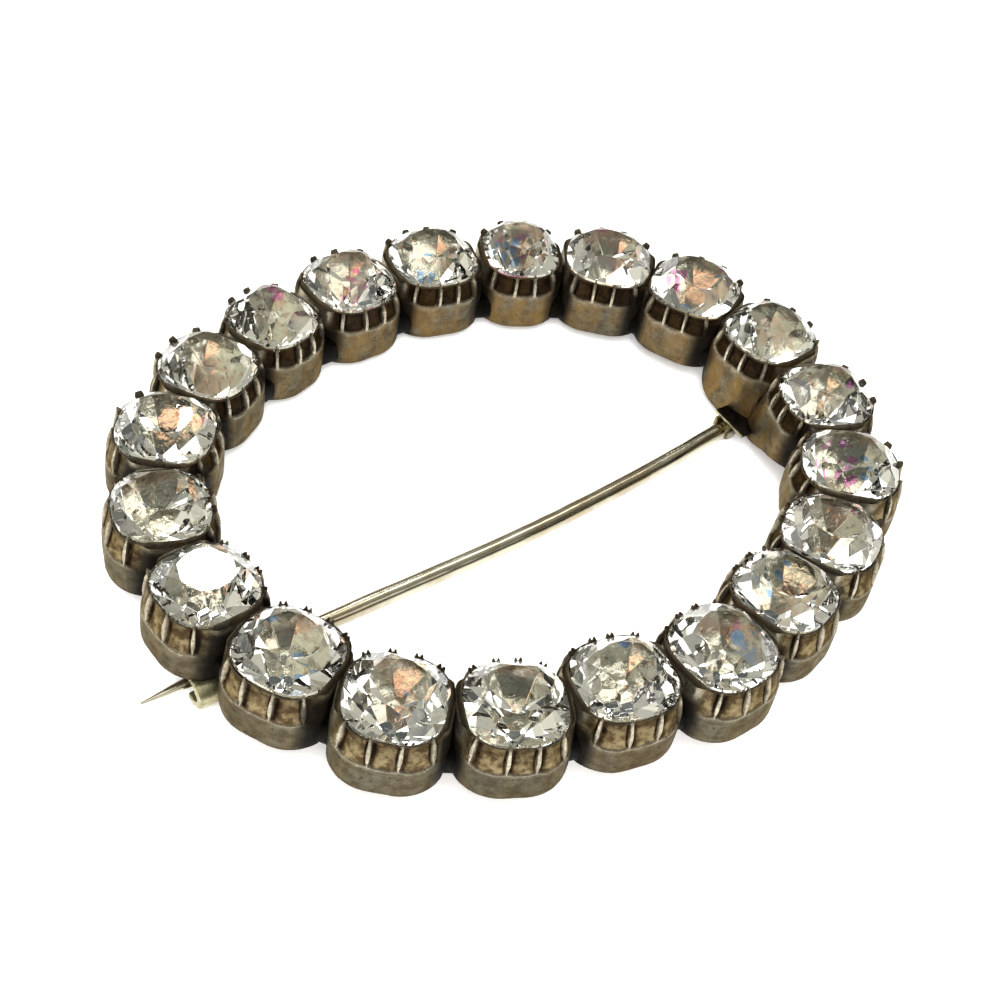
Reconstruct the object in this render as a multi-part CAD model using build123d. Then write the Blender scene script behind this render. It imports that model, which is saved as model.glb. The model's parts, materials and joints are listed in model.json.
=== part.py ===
from build123d import *
import math
import os

# An oval paste brooch: cushion-cut stones in closed-back silver collets, soldered into a ring, with a hinged pin.
# The ring is worked out lying flat, its back plane at z = 0, +X towards the hinge along the oval's long axis.
# At the end everything is turned together into the pose in which the brooch rests on a table.
# Millimetres and degrees throughout.

# The oval through the middles of the stones, and into how many steps it is cut to measure its length
OVAL_LENGTH = 40.0
OVAL_WIDTH = 32.9
OVAL_STEPS = 2000
STONE_COUNT = 20
FIRST_STONE_SHARE = 0.01

# The stones
STONE_WIDTH = 5.04
STONE_DEPTH = 5.10
STONE_CORNER = 1.95
GIRDLE_HEIGHT = 3.72
GIRDLE_THICKNESS = 0.14
CROWN_HEIGHT = 1.10
PAVILION_HEIGHT = 2.05
TABLE_SHARE = 0.54
CULET_SHARE = 0.10
STONE_GAP = 0.05

# The collets
COLLET_WALL = 0.56
SIDE_WALL = 0.36
BACK_WALL = 0.45
CUP_TAPER = 1.00
LEDGE_HEIGHT = 2.30
RIM_WALL = 0.22
RIM_RISE = 0.06
SOLDER_LENGTH = 1.10
SOLDER_DEPTH = 2.20

# The ribs left standing on the outer and inner sides of each collet, ending in small claws over the stone
RIB_COUNT = 4
RIB_SPACING = 1.26
RIB_THICKNESS = 0.28
RIB_SETBACK = 0.05
RIB_ROOT = 0.10
CLAW_REACH = 0.12
CLAW_THICKNESS = 0.12

# The hinge, soldered to the back of two collets and standing out into the ring
HINGE_WIDTH = 2.50
HINGE_PLATE = 0.30
HINGE_PLATE_LENGTH = 4.20
HINGE_REACH = 1.00
HINGE_Y = -1.40
EAR_THICKNESS = 0.42
EYE_RADIUS = 0.54
RIVET_RADIUS = 0.22
RIVET_HEAD_RADIUS = 0.34
RIVET_HEAD_THICKNESS = 0.16
RUNNING_GAP = 0.05
SIDE_GAP = 0.06

# The pin
PIN_RADIUS = 0.50
PIN_LENGTH = 40.20
PIN_TURN = 2.3
PIN_TIP_RADIUS = 0.04

# The hook catch, a bent strip soldered to the back of the collets at the other end
CATCH_X = -20.60
CATCH_STRIP = 1.50
CATCH_WALL = 0.42
CATCH_LIP = 0.40
CATCH_TAB_LENGTH = 1.60
CATCH_GAP = 0.12

# How each stone sits: along and outward are shares of the pitch, width and depth shares of the usual stone,
# twist is in degrees.
STONE_COLUMNS = ("along", "outward", "width", "depth", "twist")
STONE_ROWS = [
    (0.02, -0.02, 0.99, 1.00, 3),
    (0.02, 0.00, 1.04, 1.01, -4),
    (0.01, 0.04, 1.03, 0.99, 2),
    (-0.02, 0.02, 0.90, 0.97, 5),
    (-0.02, -0.01, 1.02, 0.98, -2),
    (0.00, -0.05, 0.99, 0.99, 4),
    (0.03, -0.04, 0.94, 0.95, -5),
    (0.01, 0.01, 0.99, 0.99, 1),
    (-0.02, 0.04, 1.00, 1.00, -3),
    (-0.03, 0.01, 0.98, 0.97, 2),
    (-0.02, -0.05, 0.98, 0.99, 6),
    (0.01, -0.03, 1.02, 0.99, -1),
    (0.00, 0.08, 1.00, 1.01, 3),
    (-0.01, 0.05, 1.00, 0.97, -2),
    (0.01, -0.05, 1.03, 0.97, 4),
    (0.02, 0.03, 1.02, 1.02, -6),
    (0.01, -0.05, 1.00, 1.03, 2),
    (-0.02, 0.00, 1.02, 1.03, -3),
    (-0.01, 0.05, 1.00, 1.07, 5),
    (-0.02, 0.00, 1.00, 1.01, -1),
]

# The facets of one stone, tier by tier. steeper is the slope's difference from the main facets, in degrees.
CROWN_BREAK = 5.0
PAVILION_BREAK = 4.0
FACET_COLUMNS = ("side", "count", "turn", "steeper")
FACET_ROWS = [
    ("crown", 8, 0.0, 0.0),
    ("crown", 16, 11.25, CROWN_BREAK),
    ("pavilion", 8, 0.0, 0.0),
    ("pavilion", 16, 11.25, PAVILION_BREAK),
]
STAR_COUNT = 8
STAR_SLOPE_SHARE = 0.58
GIRDLE_SIDES = 32
TOUCHING = 1e-6

# The band of a collet below its ledge: height is a share of the ledge's height, inset a share of the collet's wall.
BAND_COLUMNS = ("height", "inset")
BAND_ROWS = [
    (0.00, 0.60),
    (0.15, 0.20),
    (1.00, 0.00),
]

# The pin's wire, a little swollen at its eye: along is a share of its length from the hinge, radius a share of
# the wire's radius.
PIN_COLUMNS = ("along", "radius")
PIN_ROWS = [
    (0.00, 1.06),
    (0.04, 1.00),
    (0.66, 1.00),
    (0.84, 0.78),
    (0.93, 0.54),
    (0.98, 0.26),
]


def rows(columns, table):
    return [dict(zip(columns, row)) for row in table]


def oval_angles(count, first_share):
    """Angles that divide the oval into equal arcs, and how long each arc is."""
    turn = 2 * math.pi / OVAL_STEPS
    lengths = [0.0]
    for k in range(OVAL_STEPS):
        angle = turn * (k + 0.5)
        step = turn / 2 * math.hypot(OVAL_LENGTH * math.sin(angle), OVAL_WIDTH * math.cos(angle))
        lengths.append(lengths[-1] + step)
    perimeter = lengths[-1]
    angles = []
    reached = 0
    for k in range(count):
        goal = perimeter * (k / count + first_share)
        while lengths[reached] < goal:
            reached += 1
        angles.append(turn * reached)
    return angles, perimeter / count


def stone_places():
    """Each stone's place and size, and the plane it sits on: local x points out of the ring, local y along it."""
    angles, pitch = oval_angles(STONE_COUNT, FIRST_STONE_SHARE)
    table = rows(STONE_COLUMNS, STONE_ROWS)
    places = []
    for k, angle in enumerate(angles):
        row = table[k % len(table)]
        out = Vector(math.cos(angle) / OVAL_LENGTH, math.sin(angle) / OVAL_WIDTH, 0).normalized()
        along = Vector(-out.Y, out.X, 0)
        middle = Vector(OVAL_LENGTH / 2 * math.cos(angle), OVAL_WIDTH / 2 * math.sin(angle), 0)
        middle = middle + along * (row["along"] * pitch) + out * (row["outward"] * pitch)
        places.append({
            "plane": Plane(origin=middle, x_dir=out, z_dir=(0, 0, 1)),
            "middle": middle,
            "width": STONE_WIDTH * row["width"],
            "depth": STONE_DEPTH * row["depth"],
            "twist": row["twist"],
        })
    return places


def cushion(depth, width, grow, height):
    """A cushion outline, grown by an even margin, at a height."""
    corner = STONE_CORNER + grow
    return Pos(0, 0, height) * RectangleRounded(depth + 2 * grow, width + 2 * grow, corner)


def stack(sections):
    return loft(Sketch() + sections, ruled=True)


def outline_point(place, along):
    """The stone's edge at a distance along it from the middle of its outer side: the point and its outward angle."""
    flat = place["width"] / 2 - STONE_CORNER
    side = 1 if along >= 0 else -1
    past = max(0.0, abs(along) - flat)
    turn = past / STONE_CORNER
    x = place["depth"] / 2 - STONE_CORNER + STONE_CORNER * math.cos(turn)
    y = side * (min(abs(along), flat) + STONE_CORNER * math.sin(turn))
    return x, y, side * math.degrees(turn)


def crown_slope(depth, width):
    """The slope of the main crown facets, in radians."""
    half = min(depth, width) / 2
    return math.atan(CROWN_HEIGHT / (half * (1 - TABLE_SHARE)))


def rib(place, along, side):
    """One rib, from the ledge up to its claw. side is 1 on the ring's outer side and -1 on its inner side."""
    x, y, turn = outline_point(place, along)
    steepest = crown_slope(place["depth"], place["width"]) + math.radians(CROWN_BREAK)
    girdle_top = GIRDLE_HEIGHT + GIRDLE_THICKNESS / 2
    claw_low = girdle_top + 2 * STONE_GAP + CLAW_REACH * math.tan(steepest)
    claw_high = claw_low + CLAW_THICKNESS
    root = RIM_WALL - RIB_ROOT
    foot = COLLET_WALL - RIB_SETBACK
    profile = Polyline(
        (root, LEDGE_HEIGHT - RIB_ROOT),
        (foot, LEDGE_HEIGHT - RIB_ROOT),
        (foot, LEDGE_HEIGHT),
        (RIM_WALL + RIB_ROOT, GIRDLE_HEIGHT),
        (0, claw_high),
        (-CLAW_REACH, claw_high),
        (-CLAW_REACH, claw_low),
        (root, girdle_top + STONE_GAP),
        close=True,
    )
    blade = extrude(Plane.XZ * make_face(profile), RIB_THICKNESS / 2, both=True)
    placed = Pos(x, y, 0) * Rot(0, 0, turn) * blade
    if side < 0:
        placed = Rot(0, 0, 180) * placed
    return placed


def collet_outside(place):
    """One collet as a full body: its band, the recessed wall above the ledge, and its ribs."""
    depth = place["depth"]
    width = place["width"]
    slimmer = 2 * (COLLET_WALL - SIDE_WALL)
    band = []
    for row in rows(BAND_COLUMNS, BAND_ROWS):
        grow = COLLET_WALL * (1 - row["inset"])
        band.append(cushion(depth, width - slimmer, grow, LEDGE_HEIGHT * row["height"]))
    rim_height = GIRDLE_HEIGHT + RIM_RISE - BACK_WALL
    pieces = [stack(band), extrude(cushion(depth, width, RIM_WALL, BACK_WALL), rim_height)]
    first = -RIB_SPACING * (RIB_COUNT - 1) / 2
    for side in (1, -1):
        for k in range(RIB_COUNT):
            pieces.append(rib(place, first + k * RIB_SPACING, side))
    return place["plane"] * pieces[0].fuse(*pieces[1:])


def collet_inside(place):
    """The hollow that the stone sits in, open to the front, clear of the stone all round."""
    depth = place["depth"]
    width = place["width"]
    seat = GIRDLE_HEIGHT - GIRDLE_THICKNESS / 2 - STONE_GAP
    opening = extrude(cushion(depth, width, STONE_GAP, seat), GIRDLE_THICKNESS + 2 * STONE_GAP)
    cup = stack([
        cushion(depth, width, -CUP_TAPER, BACK_WALL),
        cushion(depth, width, STONE_GAP, seat),
    ])
    return place["plane"] * cup.fuse(opening)


def cut_away(facets, normal, reach):
    """Cuts a convex body, a list of flat outlines, by a plane: what lies beyond it goes, and a new facet closes it."""
    kept = []
    edge_points = []
    for facet in facets:
        outline = []
        over = [corner.dot(normal) - reach for corner in facet]
        for k, corner in enumerate(facet):
            following = (k + 1) % len(facet)
            if over[k] <= TOUCHING:
                outline.append(corner)
            if abs(over[k]) <= TOUCHING:
                edge_points.append(corner)
            if min(over[k], over[following]) < -TOUCHING and max(over[k], over[following]) > TOUCHING:
                share = over[k] / (over[k] - over[following])
                crossing = corner + (facet[following] - corner) * share
                outline.append(crossing)
                edge_points.append(crossing)
        if min(over) < -TOUCHING:
            kept.append(outline)
    distinct = []
    for point in edge_points:
        if all((point - other).length > 2 * TOUCHING for other in distinct):
            distinct.append(point)
    if len(kept) == len(facets) and len(distinct) < 3:
        return facets
    middle = sum(distinct, Vector(0, 0, 0)) / len(distinct)
    across = (distinct[0] - middle).normalized()
    upward = normal.cross(across)
    distinct.sort(key=lambda p: math.atan2((p - middle).dot(upward), (p - middle).dot(across)))
    kept.append(distinct)
    return kept


def stone(place):
    """A cushion-cut stone, cut as a lapidary does: a blank, then one plane for each facet."""
    depth = place["depth"]
    width = place["width"]
    flat_x = depth / 2 - STONE_CORNER
    flat_y = width / 2 - STONE_CORNER
    blank = []
    for k in range(GIRDLE_SIDES):
        angle = 2 * math.pi * (k + 0.5) / GIRDLE_SIDES
        x = math.copysign(flat_x, math.cos(angle)) + STONE_CORNER * math.cos(angle)
        y = math.copysign(flat_y, math.sin(angle)) + STONE_CORNER * math.sin(angle)
        blank.append((x, y))
    bottom = GIRDLE_HEIGHT - GIRDLE_THICKNESS / 2 - PAVILION_HEIGHT
    top = GIRDLE_HEIGHT + GIRDLE_THICKNESS / 2 + CROWN_HEIGHT
    facets = [[Vector(x, y, bottom) for x, y in reversed(blank)], [Vector(x, y, top) for x, y in blank]]
    for (x0, y0), (x1, y1) in zip(blank, blank[1:] + blank[:1]):
        facets.append([Vector(x0, y0, bottom), Vector(x1, y1, bottom), Vector(x1, y1, top), Vector(x0, y0, top)])

    half = min(depth, width) / 2
    slopes = {
        "crown": crown_slope(depth, width),
        "pavilion": math.atan(PAVILION_HEIGHT / (half * (1 - CULET_SHARE))),
    }
    for row in rows(FACET_COLUMNS, FACET_ROWS):
        up = 1 if row["side"] == "crown" else -1
        height = GIRDLE_HEIGHT + up * GIRDLE_THICKNESS / 2
        slope = slopes[row["side"]] + math.radians(row["steeper"])
        for k in range(row["count"]):
            angle = math.radians(360 * k / row["count"] + row["turn"] + place["twist"])
            flat = Vector(math.cos(angle), math.sin(angle), 0)
            edge = max(flat.X * x + flat.Y * y for x, y in blank)
            normal = flat * math.sin(slope) + Vector(0, 0, up * math.cos(slope))
            facets = cut_away(facets, normal, edge * math.sin(slope) + up * height * math.cos(slope))

    table_half = half * TABLE_SHARE * math.cos(math.pi / STAR_COUNT)
    slope = slopes["crown"] * STAR_SLOPE_SHARE
    for k in range(STAR_COUNT):
        angle = math.radians(360 * (k + 0.5) / STAR_COUNT + place["twist"])
        flat = Vector(math.cos(angle), math.sin(angle), 0)
        normal = flat * math.sin(slope) + Vector(0, 0, math.cos(slope))
        facets = cut_away(facets, normal, table_half * math.sin(slope) + top * math.cos(slope))
    faces = [Face(Wire.make_polygon(facet, close=True)) for facet in facets]
    return place["plane"] * Solid(Shell(faces))


def solder_joints(places):
    """The solder that fills the space between each collet and the next, low down."""
    joints = []
    for here, after in zip(places, places[1:] + places[:1]):
        middle = (here["middle"] + after["middle"]) * 0.5
        plane = Plane(origin=middle, x_dir=after["middle"] - here["middle"], z_dir=(0, 0, 1))
        block = Box(SOLDER_LENGTH, SOLDER_DEPTH, LEDGE_HEIGHT - 2 * BACK_WALL)
        joints.append(plane * Pos(0, 0, LEDGE_HEIGHT / 2) * block)
    return joints


def inner_edge_at_hinge(places):
    """How far along X the ring's inner edge lies, beside the hinge."""
    near = [place for place in places if abs(place["middle"].Y - HINGE_Y) < STONE_WIDTH and place["middle"].X > 0]
    return min(place["middle"].X - place["depth"] / 2 - COLLET_WALL * (1 - BAND_ROWS[0][1]) for place in near)


def hinge_bracket(axis_point):
    """A plate on the back of the ring, with two ears below it that carry the rivet."""
    front = axis_point.X - EYE_RADIUS
    plate = Pos(front, HINGE_Y, 0) * Box(
        HINGE_PLATE_LENGTH, HINGE_WIDTH, HINGE_PLATE, align=(Align.MIN, Align.CENTER, Align.MAX)
    )
    ears = []
    for side in (-1, 1):
        y = HINGE_Y + side * (HINGE_WIDTH - EAR_THICKNESS) / 2
        round_end = Pos(axis_point.X, y, axis_point.Z) * Rot(90, 0, 0) * Cylinder(EYE_RADIUS, EAR_THICKNESS)
        neck = Pos(axis_point.X, y, axis_point.Z) * Box(
            2 * EYE_RADIUS, EAR_THICKNESS, -axis_point.Z, align=(Align.CENTER, Align.CENTER, Align.MIN)
        )
        ears.append(round_end.fuse(neck))
    return [plate] + ears


def rivet_hole(axis_point):
    return Pos(axis_point) * Rot(90, 0, 0) * Cylinder(RIVET_RADIUS + RUNNING_GAP, 2 * HINGE_WIDTH)


def hinge_rivet(axis_point):
    """A short wire through the ears and the pin's eye, with both ends hammered over."""
    shank = Pos(axis_point) * Rot(90, 0, 0) * Cylinder(RIVET_RADIUS, HINGE_WIDTH + 2 * SIDE_GAP)
    heads = []
    for side in (-1, 1):
        y = axis_point.Y + side * (HINGE_WIDTH / 2 + SIDE_GAP / 2 + RIVET_HEAD_THICKNESS / 2)
        head = Pos(axis_point.X, y, axis_point.Z) * Rot(90, 0, 0) * Cylinder(RIVET_HEAD_RADIUS, RIVET_HEAD_THICKNESS)
        heads.append(head)
    return shank.fuse(*heads)


def pin_stem(axis_point):
    """The pin, one solid: an eye round the rivet and a tapering wire turned about its own line."""
    eye_width = HINGE_WIDTH - 2 * EAR_THICKNESS - 2 * SIDE_GAP
    points = [(0, 0)]
    for row in rows(PIN_COLUMNS, PIN_ROWS):
        points.append((PIN_RADIUS * row["radius"], PIN_LENGTH * row["along"]))
    points.append((PIN_TIP_RADIUS, PIN_LENGTH))
    points.append((0, PIN_LENGTH))
    wire = revolve(Plane.XZ * make_face(Polyline(*points, close=True)), Axis.Z)
    wire = pin_plane(axis_point) * wire
    eye = Pos(axis_point) * Rot(90, 0, 0) * Cylinder(EYE_RADIUS, eye_width)
    bore = Pos(axis_point) * Rot(90, 0, 0) * Cylinder(RIVET_RADIUS + RUNNING_GAP, 2 * HINGE_WIDTH)
    return eye.fuse(wire) - bore


def pin_plane(axis_point):
    """The pin's own line: its plane's z points from the hinge to the tip."""
    turn = math.radians(PIN_TURN)
    return Plane(origin=axis_point, z_dir=(-math.cos(turn), -math.sin(turn), 0))


def pin_y_at(axis_point, x):
    return axis_point.Y + (x - axis_point.X) * math.tan(math.radians(PIN_TURN))


def pin_radius_at(along):
    """The wire's radius at a distance from the hinge."""
    table = rows(PIN_COLUMNS, PIN_ROWS)
    for before, after in zip(table, table[1:]):
        if along <= after["along"] * PIN_LENGTH:
            share = (along / PIN_LENGTH - before["along"]) / (after["along"] - before["along"])
            return PIN_RADIUS * (before["radius"] + (after["radius"] - before["radius"]) * share)
    return PIN_RADIUS * table[-1]["radius"]


def catch(axis_point, depth):
    """A strip bent into a hook: a tab on the ring's back, then round under the pin's side, open towards +Y."""
    outer = depth / 2
    lip_end = pin_y_at(axis_point, CATCH_X) - pin_radius_at(axis_point.X - CATCH_X) - CATCH_GAP
    middle = lip_end - CATCH_LIP
    hoop = Pos(middle, -outer) * (Circle(outer) - Circle(outer - CATCH_WALL))
    keep = Pos(middle, -outer) * Rectangle(outer, 2 * outer, align=(Align.MAX, Align.CENTER))
    lip = Pos(middle, -depth) * Rectangle(CATCH_LIP, CATCH_WALL, align=(Align.MIN, Align.MIN))
    tab = Pos(lip_end, 0) * Rectangle(CATCH_TAB_LENGTH, CATCH_WALL, align=(Align.MAX, Align.MAX))
    profile = (hoop & keep) + lip + tab
    strip = extrude(Plane.YZ * profile, CATCH_STRIP / 2, both=True)
    return Pos(CATCH_X, 0, 0) * strip


places = stone_places()
hinge_axis = Vector(
    inner_edge_at_hinge(places) - HINGE_REACH + EYE_RADIUS,
    HINGE_Y,
    -HINGE_PLATE - SIDE_GAP - EYE_RADIUS,
)
hinge_depth = -hinge_axis.Z + EYE_RADIUS

# At rest the brooch lies on its hinge, its catch and the back edge of the collets on its +Y side.
far_collet = max(places, key=lambda place: place["middle"].Y)
far_edge = far_collet["middle"].Y + far_collet["depth"] / 2 + COLLET_WALL * (1 - BAND_ROWS[0][1])
rest_tilt = math.atan(hinge_depth / (far_edge - HINGE_Y))
catch_depth = math.tan(rest_tilt) * (far_edge - pin_y_at(hinge_axis, CATCH_X))

# The soldered ring
bodies = [collet_outside(place) for place in places]
bodies += solder_joints(places)
bodies += hinge_bracket(hinge_axis)
bodies.append(catch(hinge_axis, catch_depth))
ring = bodies[0].fuse(*bodies[1:])
ring = ring.cut(*[collet_inside(place) for place in places])
ring = ring.cut(rivet_hole(hinge_axis))

nodes = {"collet_ring": ring}
for k, place in enumerate(places):
    nodes[f"stone_{k:02d}"] = stone(place)
nodes["pin_stem"] = pin_stem(hinge_axis)
nodes["hinge_rivet"] = hinge_rivet(hinge_axis)

# Turned to the resting pose, with the origin under the middle of the whole
tilted = {name: Rot(-math.degrees(rest_tilt), 0, 0) * shape for name, shape in nodes.items()}
box = Compound(children=[Compound([shape]) for shape in tilted.values()]).bounding_box()
to_origin = Pos(-(box.min.X + box.max.X) / 2, -(box.min.Y + box.max.Y) / 2, -box.min.Z)

os.makedirs("parts", exist_ok=True)
for name, shape in tilted.items():
    export_step(to_origin * shape, f"parts/{name}.step")
print("rest tilt in degrees:", math.degrees(rest_tilt))
print("catch depth:", catch_depth)
print("hinge axis before the turn:", hinge_axis)
print("origin moved by:", to_origin.position)
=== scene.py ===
import bmesh
import bpy
import json
import random
import numpy as np
from math import atan, atan2, copysign, cos, pi, radians, sin
from mathutils import Matrix, Vector, noise


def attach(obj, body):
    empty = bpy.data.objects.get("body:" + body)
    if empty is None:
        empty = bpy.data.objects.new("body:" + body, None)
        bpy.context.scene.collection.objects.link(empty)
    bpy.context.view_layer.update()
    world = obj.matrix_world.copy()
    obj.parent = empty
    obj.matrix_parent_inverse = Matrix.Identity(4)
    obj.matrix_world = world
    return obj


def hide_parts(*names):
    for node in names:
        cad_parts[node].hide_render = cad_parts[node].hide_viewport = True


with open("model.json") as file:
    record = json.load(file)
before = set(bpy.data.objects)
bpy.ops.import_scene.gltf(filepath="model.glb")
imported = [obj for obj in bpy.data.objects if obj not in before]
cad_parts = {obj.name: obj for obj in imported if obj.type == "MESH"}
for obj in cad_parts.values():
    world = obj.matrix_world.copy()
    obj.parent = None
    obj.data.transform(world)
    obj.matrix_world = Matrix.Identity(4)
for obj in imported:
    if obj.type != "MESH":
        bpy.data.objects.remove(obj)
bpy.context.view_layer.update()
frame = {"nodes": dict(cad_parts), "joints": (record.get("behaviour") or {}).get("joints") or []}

MM = 0.001

# The ring's own frame, in millimetres: flat, back plane at z = 0, +X along the long axis towards the hinge.
# The CAD model lies tilted as it rests, and its hinge gives both the tilt and the place.
HINGE_POINT = Vector((15.9436, -1.4, -0.9))
OVAL_LENGTH = 40.0
OVAL_WIDTH = 32.9
STONE_COUNT = 20
STONE_CORNER = 1.95
GIRDLE_HEIGHT = 3.72

hinge = frame["joints"][0]
rest_tilt = atan2(hinge["axis"][2], -hinge["axis"][1])
RING = (
    Matrix.Translation(Vector(hinge["pos_m"]))
    @ Matrix.Rotation(-rest_tilt, 4, "X")
    @ Matrix.Scale(MM, 4)
    @ Matrix.Translation(-HINGE_POINT)
)


# Camera, at the photograph's place: angles in the ring's frame, distance in millimetres
CAMERA_AZIMUTH = 42.549
CAMERA_ELEVATION = 45.481
CAMERA_ROLL = 11.531
CAMERA_DISTANCE = 98.5655
CAMERA_LENS = 62.578
SENSOR = 36.0
IMAGE_SIDE = 1000
CENTRE_PIXEL = (507.953, 493.792)
CAMERA_NEAR = 0.005
CAMERA_FAR = 10


def put(name, data):
    thing = bpy.data.objects.new(name, data)
    bpy.context.scene.collection.objects.link(thing)
    return thing


def make_camera():
    """The ring's middle falls on CENTRE_PIXEL."""
    axes = (
        Matrix.Rotation(radians(-CAMERA_AZIMUTH), 4, "Z")
        @ Matrix.Rotation(radians(90 - CAMERA_ELEVATION), 4, "X")
        @ Matrix.Rotation(radians(CAMERA_ROLL), 4, "Z")
    )
    per_pixel = CAMERA_DISTANCE * SENSOR / CAMERA_LENS / IMAGE_SIDE
    across, down = ((pixel - IMAGE_SIDE / 2) * per_pixel for pixel in CENTRE_PIXEL)
    data = bpy.data.cameras.new("camera")
    data.lens = CAMERA_LENS
    data.sensor_width = SENSOR
    data.clip_start = CAMERA_NEAR
    data.clip_end = CAMERA_FAR
    place = RING @ axes @ Matrix.Translation((-across, down, CAMERA_DISTANCE))
    where, turned, _ = place.decompose()
    camera = put("camera", data)
    camera.matrix_world = Matrix.Translation(where) @ turned.to_matrix().to_4x4()
    bpy.context.scene.camera = camera


make_camera()


# Shader helpers. A value is a number, a colour of three numbers, or another node's output.
def feed(socket, value):
    if isinstance(value, bpy.types.NodeSocket):
        socket.id_data.links.new(value, socket)
    else:
        socket.default_value = (*value, 1) if socket.type == "RGBA" else value


def node(tree, kind, inputs=None, **settings):
    """One shader node with its properties set and its inputs fed."""
    made = tree.nodes.new("ShaderNode" + kind)
    for key, value in settings.items():
        setattr(made, key, value)
    for key, value in (inputs or {}).items():
        feed(made.inputs[key], value)
    return made


def mix(tree, factor, first, second):
    """A mix of two colours."""
    return node(tree, "Mix", {0: factor, 6: first, 7: second}, data_type="RGBA").outputs[2]


def calc(tree, operation, first, second):
    return node(tree, "Math", {0: first, 1: second}, operation=operation).outputs[0]


def times(tree, first, second):
    return calc(tree, "MULTIPLY", first, second)


def spread(tree, value, low, high, to_low=0.0, to_high=1.0):
    """A value brought smoothly from one range to another."""
    keys = {"Value": value, "From Min": low, "From Max": high, "To Min": to_low, "To Max": to_high}
    return node(tree, "MapRange", keys, interpolation_type="SMOOTHSTEP").outputs[0]


def millimetres(tree, scale=(1, 1, 1), turn=0.0):
    """Texture coordinates in the row's frame, in millimetres, stretched along an axis where asked."""
    place = node(tree, "TexCoord").outputs["Object"]
    sizes = tuple(s / MM for s in scale)
    keys = {"Vector": place, "Scale": sizes, "Rotation": (0, 0, turn)}
    return node(tree, "Mapping", keys).outputs[0]


def cloud(tree, vector, scale, detail=4.0, roughness=0.6):
    keys = {"Vector": vector, "Scale": scale, "Detail": detail, "Roughness": roughness}
    return node(tree, "TexNoise", keys).outputs[0]


def cells(tree, vector, scale, output):
    return node(tree, "TexVoronoi", {"Vector": vector, "Scale": scale}).outputs[output]


def bump(tree, height, strength, distance, normal=None):
    keys = {"Height": height, "Strength": strength, "Distance": distance * MM}
    if normal is not None:
        keys["Normal"] = normal
    return node(tree, "Bump", keys).outputs[0]


def material(name):
    """A new material, its tree, its Principled shader and its texture coordinates."""
    made = bpy.data.materials.new(name)
    made.use_nodes = True
    tree = made.node_tree
    return made, tree, tree.nodes["Principled BSDF"], millimetres(tree)


def fill(shader, **inputs):
    """Feeds the Principled shader. Names are its sockets' names with _ for a space."""
    for key, value in inputs.items():
        feed(shader.inputs[key.replace("_", " ")], value)


def attribute(tree, name):
    return node(tree, "Attribute", attribute_name=name).outputs["Fac"]


# Materials. Colours in pairs are the two that a noise goes between.
BAND_COLOURS = (0.080, 0.077, 0.057), (0.052, 0.045, 0.029)
BAND_BLOTCH = (0.028, 0.021, 0.012)
BAND_LINES = (0.130, 0.120, 0.090)
GOLD_STAIN = (0.140, 0.080, 0.020)
PANEL_COLOURS = (0.275, 0.220, 0.118), (0.086, 0.056, 0.027)
PANEL_SPECKS = (0.035, 0.022, 0.011)
HOLLOW_AND_SHADE_COLOURS = (0.027, 0.014, 0.007), (0.008, 0.004, 0.003)
WORN_AND_LIT_COLOURS = (0.68, 0.64, 0.52), (0.36, 0.31, 0.21)
# Painted shade in the gaps between collets
GAP_SHADE_COLOUR = (0.004, 0.003, 0.002)
SOOT_TINT = (0.55, 0.50, 0.42)
PIT_COLOUR = (0.012, 0.009, 0.006)
PIT_SCALE = 1.7
FOIL_COLOURS = (0.84, 0.82, 0.71), (0.80, 0.63, 0.50)
FOIL_CREASE = (0.50, 0.34, 0.22)
RAINBOW_SCALE = 1.9
RAINBOW_HUES = (0.60, 1.07)
RAINBOW_STRENGTH = 0.60
RAINBOW_VALUE = 0.85
GLASS_COLOUR = (0.985, 0.985, 0.95)
GLASS_IOR = 1.62
STEEL_COLOURS = (0.56, 0.53, 0.42), (0.42, 0.36, 0.25)
STEEL_LINES = (0.20, 0.14, 0.08)
TABLE_COLOURS = (0.86, 0.86, 0.855), (0.88, 0.88, 0.875)
TABLE_GLOW = (1.0, 0.995, 0.985)


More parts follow.
